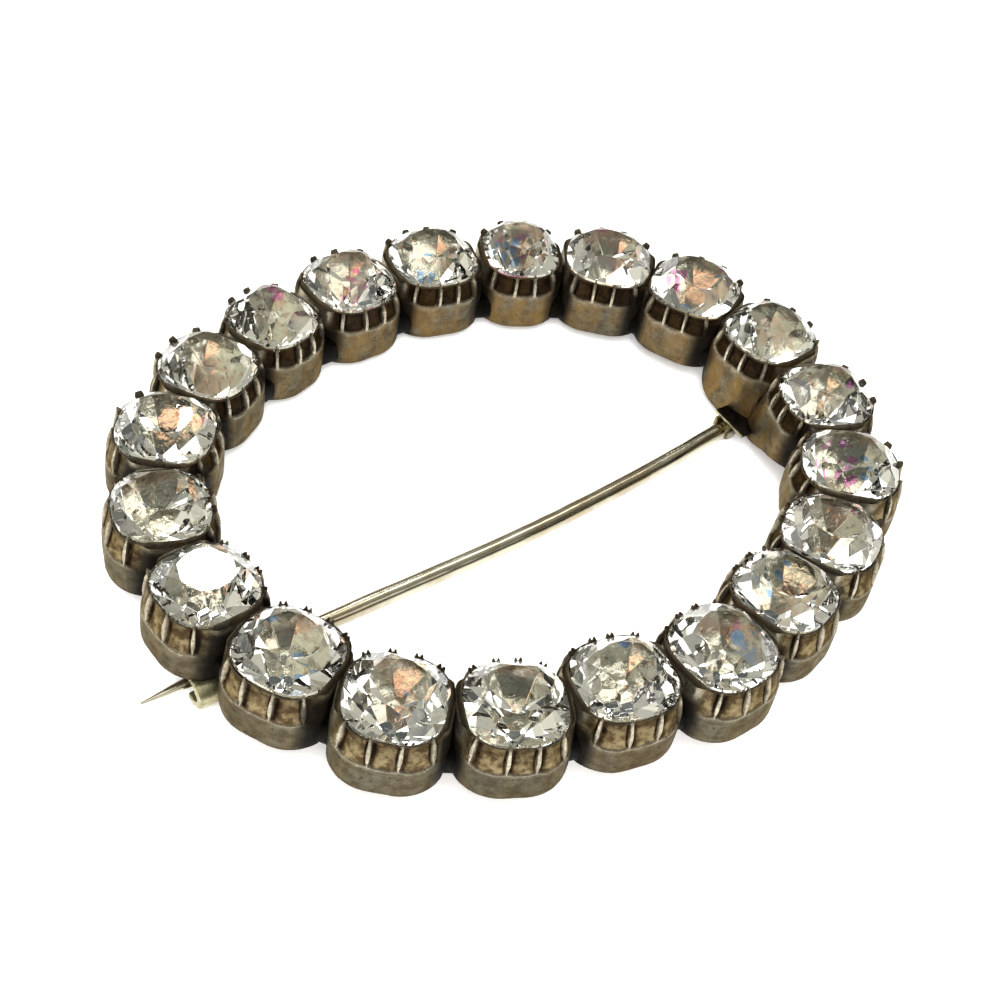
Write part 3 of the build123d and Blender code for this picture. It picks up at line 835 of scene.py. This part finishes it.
class Collet:
    """One collet's mesh, row by row from the middle of its back, up the outside and down into the cup."""

    def __init__(self, number):
        self.number = number
        self.place = place = places[number]
        self.half = half = 2 * sum(flats(place)) + pi * STONE_CORNER
        draw = random.Random(COLLET_SEED + number)
        outer = [rib + draw.uniform(-RIB_JITTER, RIB_JITTER) for rib in OUTER_RIBS]
        inner = [half - rib + draw.uniform(-RIB_JITTER, RIB_JITTER) for rib in INNER_RIBS]
        self.ribs = outer + [(rib + half) % (2 * half) - half for rib in inner]
        self.leans = [draw.uniform(-RIB_LEAN, RIB_LEAN) for _ in self.ribs]
        self.ways = column_ways(self.ribs, half)
        self.edge, self.out = edge_at(place, self.ways)
        self.outward = level(place, self.out)
        self.shady = smooth(self.outward @ SHADY, *SHADY_BLEND)
        self.rubbed = smooth(self.outward @ FRONT, *FRONT_BLEND)
        self.full = 1 - self.rubbed
        self.outer = np.abs(self.ways) < half / 2
        from_middle = np.minimum(np.abs(self.ways), half - np.abs(self.ways))
        start = np.where(self.outer, OUTER_SIDE_START, INNER_SIDE_START)
        self.side = smooth(from_middle, start, start + SIDE_BLEND)
        self.plain = 1 - self.side
        self.rib_share = np.where(self.outer, OUTER_RIB_SHARE, INNER_RIB_SHARE)
        self.stain = STAINS[number] * np.where(self.outer, OUTER_STAIN, 1.0)
        self.ledge = self.ledge_height(draw)
        self.neighbours = []
        for step in (-1, 1):
            direction = places[(number + step) % STONE_COUNT]["middle"] - place["middle"]
            reach = np.linalg.norm(direction)
            self.neighbours.append((direction / reach, reach / 2 - TOUCHING))
        self.drop = np.zeros(COLUMNS)
        self.flare = np.zeros(COLUMNS)
        if number in HINGE_COLLETS:
            self.reach_hinge()
        self.rows = []
        self.marks = {name: [] for name in MARK_ENDS}

    def ledge_height(self, draw):
        low = np.where(self.outer, OUTER_LEDGE, INNER_LEDGE) + draw.uniform(-LEDGE_JITTER, LEDGE_JITTER)
        scallop = smooth(self.from_ribs(0.0), *SCALLOP_BLEND) - 0.5
        spots = [Vector((s * WAVE_SCALE, WAVE_APART * self.number, 0)) for s in self.ways]
        wave = np.array([noise.noise(spot) for spot in spots])
        return low - LEDGE_SCALLOP * scallop * self.plain + LEDGE_WAVE * wave

    def reach_hinge(self):
        spots = level(self.place, self.edge) + self.place["middle"]
        away = np.linalg.norm(spots[:, :2] - np.array(HINGE_SIDE), axis=1)
        self.drop = HINGE_DROP * (1 - smooth(away, *DROP_REACH))
        facing = -1 if self.number == 0 else 1
        near_corner = bell(self.half - np.abs(self.ways), CORNER_WAY, 1.0) * (facing * self.ways > 0)
        self.flare = HINGE_FLARE * (1 - smooth(away, *FLARE_REACH)) + HINGE_CORNER * near_corner

    def past_ribs(self, share):
        """How far each column is from the nearest rib, with its sign, each rib leaning as it rises."""
        places = [rib + lean * share for rib, lean in zip(self.ribs, self.leans)]
        ways = np.array([(self.ways - rib + self.half) % (2 * self.half) - self.half for rib in places])
        nearest = np.abs(ways).argmin(axis=0)
        return ways[nearest, np.arange(COLUMNS)]

    def from_ribs(self, share):
        return np.abs(self.past_ribs(share))

    def claw_mask(self, taper):
        """1 on the claws and 0 beside them, on every column."""
        away = self.from_ribs(1.0)
        whole = within(away, (OUTER_CLAW[0] + OUTER_CLAW[1] * self.full) * taper, CLAW_SOFT)
        rubbed = within(away, INNER_CLAW * taper, CLAW_SOFT)
        beads = within(np.abs(away - BEAD_APART), BEAD_HALF * max(taper, BEAD_LEAST_TAPER), CLAW_SOFT)
        inner = rubbed * self.rubbed + beads * self.full
        return np.where(self.outer, whole, inner) * self.plain

    def add(self, stand_out, height, wear_and_light, grime_and_shade, dent, share=1.0, panel=0.0):
        """One row: how far it stands out from the stone's edge and how high, both for every column."""
        none = np.zeros(COLUMNS)
        middle = self.place["middle"]
        lift = (none + height)[:, None] * UP
        points = level(self.place, (self.edge + self.out * (none + stand_out)[:, None]) * share)
        spots = [Vector(spot) for spot in points + middle + lift]
        coarse, fine = DENT_SCALES
        rough = [noise.noise(p * coarse) + FINE_DENT * noise.noise(p * fine) for p in spots]
        points = points + self.outward * (np.array(rough) * dent)[:, None]
        near = none
        for direction, reach in self.neighbours:
            across = points @ direction
            shady = smooth(direction @ SHADY, *SHADY_BLEND)
            start, full = (reach - plain - more * shady for plain, more in GAP_SHADE_NEAR)
            low, high = (plain + more * shady for plain, more in GAP_SHADE_TOP)
            near = np.maximum(near, smooth(across, start, full) * (1 - smooth(height, low, high)))
            points = points - np.maximum(across - reach, 0)[:, None] * direction
        self.rows.append(points + middle + lift)
        # Painted shade near the gap between two collets, weaker where a collet drops over the hinge
        painted_gap_shade = near * (1 - GAP_SHADE_LEFT_BY_DROP * np.minimum(self.drop, 1))
        wear_and_light = wear_and_light * (1 - GAP_SHADE_DULLS * painted_gap_shade)
        marks = {"wear_and_light": wear_and_light, "grime_and_shade": grime_and_shade, "painted_gap_shade": painted_gap_shade, "stain": self.stain, "panel": panel}
        for name, value in marks.items():
            self.marks[name].append(np.clip(none + value, 0, 1))

    def build(self):
        self.add_band()
        for row in WALL_ROWS:
            self.add_wall_row(*row)
        for row, taper in zip(RIM_ROWS, CLAW_TAPER):
            self.add_rim_row(*row, taper)
        for share, height in CUP_ROWS:
            self.add(0.0, height, 0.0, 1.0, CUP_DENT, share)
        self.make()

    def add_band(self):
        slim = SIDE_SLIMMER * self.side
        for share in BACK_SHARES:
            out = BACK_EDGE - slim + self.flare * share
            self.add(out, -self.drop * share, *BACK_MARKS, BAND_DENT, share)
        self.add(BACK_EDGE - slim + self.flare, BACK_EDGE_HEIGHT - self.drop, *BACK_EDGE_MARKS, BAND_DENT)
        for share, stand_out in BAND_ROWS:
            out = stand_out - slim + self.flare * (1 - share)
            height = share * self.ledge - (1 - share) * self.drop
            wear_and_light = BAND_WEAR + BAND_TOP_WEAR * smooth(share, 0.90, 1.0) * self.plain
            foot_darkening = BAND_FOOT_DARKENING * (1 - smooth(share, 0.0, 0.2))
            self.add(out, height, wear_and_light, foot_darkening + BAND_SIDE_SHADE * self.side, BAND_DENT)

    def add_wall_row(self, share, outer_panel, inner_panel, rib, half_width):
        edge = np.where(self.outer, half_width, INNER_RIB_HALF) * self.rib_share
        past = self.past_ribs(share)
        away = np.abs(past)
        mask = within(away, edge, RIB_SOFT) * self.plain
        # Painted shade on one side of each outer rib, where a wider hollow is cut
        lee_hollow_and_shade = bell(past, edge + LEE_PLACE, LEE_HALF) * self.outer
        beside = np.maximum(bell(away, edge + RIB_HOLLOW, RIB_HOLLOW), lee_hollow_and_shade)

        panel = np.where(self.outer, outer_panel, inner_panel)
        panel = panel - RIB_HOLLOW * beside * smooth(share, 0.0, 0.1)
        rib = rib + CLAW_SWELL * smooth(share, *SWELL_BLEND) * self.full * self.outer
        side = SIDE_OUT - SIDE_TAPER * share - GROOVE_DEPTH * bell(share, GROOVE_SHARE, GROOVE_HALF)
        stand_out = (mask * rib + (1 - mask) * panel) * self.plain + side * self.side
        rim_height = RIM_ROWS[0][0][1]
        height = self.ledge + (rim_height - self.ledge) * share

        lip = 1 - smooth(share, 0.0, 0.05)
        high = smooth(share, 0.3, 0.9)
        # Painted light: side walls facing away from the shady way are brighter, more so higher up
        lit = LIT_SIDE_LIGHT[0] + LIT_SIDE_LIGHT[1] * high
        side_wear_and_light = SIDE_BRIGHTENING[0] + SIDE_BRIGHTENING[1] * high + (1 - self.shady) * lit
        wear_and_light = np.maximum(mask, LEDGE_WEAR * lip * self.plain) + side_wear_and_light * self.side
        # Painted shade on the panels: darker towards the top under the rim and in the hollows beside the
        # ribs
        outer_grime_and_shade = OUTER_PANEL_TOP_SHADE * share * share + beside
        inner_grime_and_shade = INNER_PANEL_GRIME_AND_SHADE[0] + INNER_PANEL_GRIME_AND_SHADE[1] * share + INNER_HOLLOW_DARKENING * beside
        bare = (1 - mask) * (1 - lip) * self.plain
        grime_and_shade = bare * np.where(self.outer, outer_grime_and_shade, inner_grime_and_shade) + SIDE_SHADE * self.side
        self.add(stand_out, height, wear_and_light, grime_and_shade, WALL_DENT, panel=bare * self.outer)

    def add_rim_row(self, panel, rubbed, full, side, taper):
        claw = self.claw_mask(taper)
        reached = []
        for k, inner_share in enumerate((1.0, INNER_CLAW_SHARE)):
            taller = (full[k] - rubbed[k]) * np.where(self.outer, 1.0, inner_share)
            top = rubbed[k] * self.rubbed + (rubbed[k] + taller) * self.full
            reached.append((claw * top + (1 - claw) * panel[k]) * self.plain + side[k] * self.side)
        stand_out, height = reached
        swell = CLAW_SWELL * smooth(full[0], *SWELL_OUT) * claw * self.full * self.outer * self.plain
        wear_and_light = RIM_WEAR + CLAW_WEAR * claw * self.rubbed
        grime_and_shade = RIM_DARKENING * (1 - claw * self.rubbed) + CLAW_DARKENING * claw * self.full
        self.add(stand_out + swell, height, wear_and_light, grime_and_shade, RIM_DENT)

    def make(self):
        count = COLUMNS
        middle = self.place["middle"]
        points = np.vstack([middle, *self.rows, middle + CUP_BOTTOM * UP])
        top = 1 + (len(self.rows) - 1) * count
        faces = [[1 + spot for spot in face] for face in tube_faces(len(self.rows), count)]
        for k in range(count):
            after = (k + 1) % count
            faces.append((0, 1 + after, 1 + k))
            faces.append((top + k, top + after, len(points) - 1))
        made = make_piece(f"collet_{self.number:02d}", points, faces, SILVER, sharp=50)
        for name, (first, last) in MARK_ENDS.items():
            mark = made.data.attributes.new(name, "FLOAT", "POINT")
            values = np.concatenate([[first], *self.marks[name], [last]])
            mark.data.foreach_set("value", values.astype(np.float32))


for number in range(STONE_COUNT):
    Collet(number).build()


# Solder between the collets, low down, where they touch, near-black as painted shade in the gaps
SOLDER_LOW = 0.03
SOLDER_HIGH = 1.95
SOLDER_WIDE = 1.0
SOLDER_INWARDS = 2.35
SOLDER_OUTWARDS = 2.05
SOLDER_DRAWN = 0.18
SOLDER_TOP_DRAWN = 0.30
SQUARENESS = 0.45


def solder_joints():
    """One lump in each gap, from wall to wall, drawn in as it froze."""
    shape = bmesh.new()
    for k, here in enumerate(places):
        after = places[(k + 1) % STONE_COUNT]
        middle = Vector((here["middle"] + after["middle"]) / 2)
        across = Vector(after["middle"] - here["middle"]).normalized()
        outward = across.cross(ALONG_Z)
        lump = bmesh.ops.create_icosphere(shape, subdivisions=4, radius=1.0)
        for v in lump["verts"]:
            x, y, z = (copysign(abs(c) ** SQUARENESS, c) for c in v.co)
            reach = SOLDER_OUTWARDS if y > 0 else SOLDER_INWARDS
            reach -= SOLDER_DRAWN * (1 - x * x) + SOLDER_TOP_DRAWN * max(z, 0) ** 2
            height = SOLDER_LOW + (SOLDER_HIGH - SOLDER_LOW) * (z + 1) / 2
            v.co = middle + across * (x * SOLDER_WIDE) + outward * (y * reach) + ALONG_Z * height
    from_bmesh("solder_joints", shape, SHADED_SOLDER)


solder_joints()


# Hinge: a near-black plate on the ring's back, two ears below it, and the rivet through them
HINGE_WIDTH = 1.10
PLATE_THICKNESS = 0.30
PLATE_WIDTH = 2.50
PLATE_START = 15.70
PLATE_END = 19.60
PLATE_MIDDLE = -1.10
PLATE_CORNER = 0.22
HINGE_BEAD = (-0.05, 0.06)
HINGE_BEAD_THICKNESS = 0.18
HINGE_BEAD_WEAR = 0.03
HINGE_SHIFT = 0.68
HINGE_MIDDLE = HINGE_POINT + ALONG_Y * HINGE_SHIFT
EAR_THICKNESS = 0.28
EYE_RADIUS = 0.54
EDGE_WEAR = 0.07
RIVET_RADIUS = 0.22
RIVET_NECK = 0.01
RIVET_HEAD_RADIUS = 0.36
RIVET_HEAD_HEIGHT = 0.15
RIVET_HEAD_GAP = 0.02
RIVET_SIDES = 28
ARC_STEPS = 14


def hinge_plate():
    """The plate, and a pale bead along its front edge, a painted highlight where the edge catches the light.
    """
    front = PLATE_START
    back = PLATE_END
    half = PLATE_WIDTH / 2
    corner = PLATE_CORNER
    outline = [
        (front, -half), (back - corner, -half), (back, -half + corner),
        (back, half - corner), (back - corner, half), (front, half),
    ]
    middle = Vector((0, PLATE_MIDDLE, -PLATE_THICKNESS / 2))
    way = (middle, ALONG_X, ALONG_Y)
    plate("hinge_plate", BLACK_PLATE_METAL, outline, *way, PLATE_THICKNESS, EDGE_WEAR / 2, finer=2)
    # A painted highlight: the pale bead along the plate's front edge
    low, high = (front + past for past in HINGE_BEAD)
    bead = [(low, -half), (high, -half), (high, half), (low, half)]
    plate("hinge_plate_lit_edge", CATCH_METAL, bead, *way, HINGE_BEAD_THICKNESS, HINGE_BEAD_WEAR, finer=2)


def hinge_ears():
    drop = -HINGE_POINT.z - PLATE_THICKNESS + EDGE_WEAR
    outline = [(EYE_RADIUS, drop), (-EYE_RADIUS, drop)]
    for k in range(ARC_STEPS + 1):
        angle = pi * (1 + k / ARC_STEPS)
        outline.append((EYE_RADIUS * cos(angle), EYE_RADIUS * sin(angle)))
    for side, name in ((-1, "hinge_ear_front"), (1, "hinge_ear_back")):
        middle = HINGE_MIDDLE + ALONG_Y * (side * (HINGE_WIDTH - EAR_THICKNESS) / 2)
        plate(name, SOLDERED, outline, middle, ALONG_X, ALONG_Z, EAR_THICKNESS, EDGE_WEAR)


def hinge_rivet():
    """A wire through the ears, both ends hammered to low domes."""
    reach = HINGE_WIDTH / 2 + RIVET_HEAD_HEIGHT + RIVET_HEAD_GAP
    head = []
    for k in range(ARC_STEPS // 2 + 1):
        angle = pi * k / ARC_STEPS
        head.append((RIVET_HEAD_RADIUS * sin(angle), reach - RIVET_HEAD_HEIGHT * (1 - cos(angle))))
    head.append((RIVET_RADIUS, HINGE_WIDTH / 2 + RIVET_NECK))
    profile = [(radius, -along) for radius, along in head] + head[::-1]
    points, faces = lathe(profile, HINGE_MIDDLE, ALONG_Y, RIVET_SIDES)
    make_piece(
        "rivet", points, faces, RIVET_METAL, slot="rivet_wire", stands_for=("hinge_rivet",), sharp=50
    )


# Pin: an eye round the rivet, then a long taper, flattened and filed at its point
PIN_RADIUS = 0.50
PIN_LENGTH = 40.20
PIN_TURN = 2.3
PIN_SIDES = 28
PIN_STEPS = 120
PIN_DENT = 0.016
PIN_DENT_SCALE = 0.9
BEND_EASE = 5
EYE_WIDTH = 0.46
EYE_SIDES = 36
EYE_ROUNDING = 0.10
BORE_RADIUS = 0.27
# Share of the length, radius as a share of the wire's, and how much flatter than round
PIN_ROWS = (
    (0.008, 0.80, 1.0), (0.013, 1.05, 1.0), (0.04, 1.0, 1.0), (0.66, 1.0, 1.0), (0.84, 0.78, 1.0),
    (0.93, 0.62, 0.92), (0.96, 0.46, 0.85), (0.985, 0.24, 0.75), (1.0, 0.12, 0.70),
)
# How far the worn wire has bent sideways from a straight line: share of the length, and millimetres
PIN_BEND = (
    (0.0, 0.68), (0.04, 0.56), (0.08, 0.38), (0.14, 0.14), (0.20, -0.03), (0.28, -0.21), (0.38, -0.36),
    (0.48, -0.36), (0.58, -0.27), (0.70, -0.16), (0.82, -0.06), (0.91, 0.0), (1.0, 0.0),
)


def pin_wire():
    turn = radians(PIN_TURN)
    along = Vector((-cos(turn), -sin(turn), 0))
    side = along.cross(ALONG_Z)
    shares, radii, flat_shares = np.array(PIN_ROWS).T
    bent_at, bends = np.array(PIN_BEND).T
    steps = np.linspace(shares[0], shares[-1], PIN_STEPS)
    bent = np.pad(np.interp(steps, bent_at, bends), BEND_EASE, "edge")
    window = 2 * BEND_EASE + 1
    bent = np.convolve(bent, np.ones(window) / window, "valid")
    points = []
    for share, bend in zip(steps, bent):
        radius = PIN_RADIUS * np.interp(share, shares, radii)
        height = radius * np.interp(share, shares, flat_shares)
        middle = HINGE_POINT + along * (share * PIN_LENGTH) + ALONG_Y * bend
        for k in range(PIN_SIDES):
            angle = 2 * pi * k / PIN_SIDES
            point = middle + side * (radius * cos(angle)) + ALONG_Z * (height * sin(angle))
            dent = PIN_DENT * noise.noise(point * PIN_DENT_SCALE)
            points.append(point + (point - middle).normalized() * dent)
    faces = tube_faces(PIN_STEPS, PIN_SIDES)
    faces.append(range(PIN_SIDES)[::-1])
    faces.append(range(len(points) - PIN_SIDES, len(points)))
    make_piece("pin_wire", points, faces, STEEL, slot="pin_wire", body="pin", stands_for=("pin_stem",))


def pin_eye():
    half = EYE_WIDTH / 2
    eased = EYE_ROUNDING * 0.3
    outer = [
        (EYE_RADIUS - EYE_ROUNDING, half), (EYE_RADIUS - eased, half - eased),
        (EYE_RADIUS, half - EYE_ROUNDING),
    ]
    wall = outer + [(radius, -along) for radius, along in reversed(outer)]
    bore = [(BORE_RADIUS, -half), (BORE_RADIUS, half)]
    points, faces = lathe(wall + bore, HINGE_MIDDLE, ALONG_Y, EYE_SIDES, closed=True)
    make_piece(
        "pin_eye", points, faces, SOLDERED, slot="pin_wire", body="pin", stands_for=("pin_stem",), sharp=50
    )


# Catch: a strip bent into a hook
CATCH_X = -20.90
CATCH_STRIP = 1.70
CATCH_WALL = 0.32
CATCH_LIP = 0.60
CATCH_LIP_END = -3.286
CATCH_TAB_LENGTH = 0.62
CATCH_DEPTH = 1.544


def catch_hook():
    """Its tab is soldered to the ring's back, and it turns under the pin from the pin's far side."""
    bend_at = CATCH_LIP_END - CATCH_LIP
    outer = CATCH_DEPTH / 2
    inner = outer - CATCH_WALL
    bend = [pi / 2 + pi * k / ARC_STEPS for k in range(ARC_STEPS + 1)]
    outline = [(CATCH_LIP_END, 0)]
    outline += [(bend_at + outer * cos(a), -outer + outer * sin(a)) for a in bend]
    outline += [(CATCH_LIP_END, -CATCH_DEPTH), (CATCH_LIP_END, -CATCH_DEPTH + CATCH_WALL)]
    outline += [(bend_at + inner * cos(a), -outer + inner * sin(a)) for a in reversed(bend)]
    outline += [(CATCH_LIP_END, -CATCH_WALL)]
    middle = ALONG_X * CATCH_X
    plate("catch_hook", CATCH_METAL, outline, middle, ALONG_Y, ALONG_Z, CATCH_STRIP, 2 * EDGE_WEAR)


def catch_tab():
    half = CATCH_STRIP / 2
    outline = [(-half, 0), (half, 0), (half, CATCH_TAB_LENGTH), (-half, CATCH_TAB_LENGTH)]
    middle = Vector((CATCH_X, CATCH_LIP_END - CATCH_TAB_LENGTH, -CATCH_WALL / 2))
    plate("catch_tab", CATCH_METAL, outline, middle, ALONG_X, ALONG_Y, CATCH_WALL, EDGE_WEAR, finer=2)


hinge_plate()
hinge_ears()
hinge_rivet()
pin_wire()
pin_eye()
catch_hook()
catch_tab()


# Table, light and surroundings
TABLE_SIDE = 6.0
BASE_HEIGHTS = (0.10, 0.35)
WORLD_SHIFT = (3.1, 1.7, 0.4)
WORLD_DARK = (0.088, 0.100, 0.100)
WORLD_PALE = (0.45, 0.44, 0.37)
WORLD_WHITE = (0.80, 0.78, 0.66)
WORLD_BASE = (0.36, 0.35, 0.31)
# A dim wall on one side of the room: the way to it, its colour and how much it hides
WALL_WAY = (0.113, -0.859, 0.5)
WALL_COLOUR = (0.100, 0.100, 0.084)
WALL_COVER = 0.55
NEUTRAL = (1.0, 1.0, 1.0)
CREAM = (1.0, 0.99, 0.96)


def make_table():
    half = TABLE_SIDE / 2
    mesh = bpy.data.meshes.new("table")
    corners = [(-half, -half, 0), (half, -half, 0), (half, half, 0), (-half, half, 0)]
    mesh.from_pydata(corners, [], [(0, 1, 2, 3)])
    mesh.materials.append(table_top())
    table = put("table", mesh)


def lamp(name, azimuth, elevation, distance, size, watts, colour, mirrored=True):
    """A soft square light. Azimuth 0 is behind the camera, 90 to its right. One not mirrored only lights."""
    turn = radians(azimuth - CAMERA_AZIMUTH)
    rise = radians(elevation)
    away = Vector((sin(turn) * cos(rise), -cos(turn) * cos(rise), sin(rise)))
    data = bpy.data.lights.new(name, "AREA")
    data.shape = "SQUARE"
    data.size = size
    data.energy = watts
    data.color = colour
    light = put(name, data)
    facing = away.to_track_quat("Z", "Y").to_matrix().to_4x4()
    light.matrix_world = Matrix.Translation(away * distance) @ facing
    light.visible_glossy = mirrored
    light.visible_transmission = mirrored


def make_world():
    """A room of soft light and dark patches overhead, plain near the horizon."""
    world = bpy.data.worlds.new("room")
    world.use_nodes = True
    tree = world.node_tree
    way = node(tree, "TexCoord").outputs["Generated"]
    shifted = node(tree, "Mapping", {"Vector": way, "Location": WORLD_SHIFT}).outputs[0]
    patches = cloud(tree, shifted, 1.7, 2.0, 0.5)
    colour = mix(tree, spread(tree, patches, 0.42, 0.52), WORLD_DARK, WORLD_PALE)
    colour = mix(tree, spread(tree, patches, 0.54, 0.64), colour, WORLD_WHITE)
    facing = node(tree, "VectorMath", {0: way, 1: WALL_WAY}, operation="DOT_PRODUCT")
    wall = spread(tree, facing.outputs["Value"], 0.35, 0.80, 0.0, WALL_COVER)
    colour = mix(tree, wall, colour, WALL_COLOUR)
    height = node(tree, "SeparateXYZ", {0: way}).outputs["Z"]
    colour = mix(tree, spread(tree, height, *BASE_HEIGHTS), WORLD_BASE, colour)
    feed(tree.nodes["Background"].inputs["Color"], colour)
    bpy.context.scene.world = world


make_table()
make_world()
# Azimuth and elevation in degrees, distance and size in metres, and watts
lamp("window", 197.7, 45.2, 0.50, 0.054, 0.20, NEUTRAL)
lamp("back_box", 180, 78, 0.60, 0.28, 0.38, CREAM)
lamp("pin_card", 162, 58, 0.60, 0.15, 0.34, CREAM)
lamp("left_box", 262, 36, 0.60, 0.30, 0.50, (0.97, 0.98, 1.0))
lamp("right_box", 58, 36, 0.60, 0.28, 0.35, (1.0, 0.98, 0.94))
lamp("front_card", 25, 66, 0.60, 0.20, 0.19, (1.0, 0.97, 0.90))
lamp("warm_card", 340, 28, 0.60, 0.20, 0.18, (1.0, 0.60, 0.42))
lamp("front_fill", 0, 60, 0.60, 0.40, 5.2, NEUTRAL, mirrored=False)
lamp("side_fill", 235, 45, 0.60, 0.30, 1.6, NEUTRAL, mirrored=False)

bpy.context.scene.cycles.max_bounces = 12
bpy.context.scene.cycles.glossy_bounces = 8
bpy.context.scene.view_settings.view_transform = "Standard"
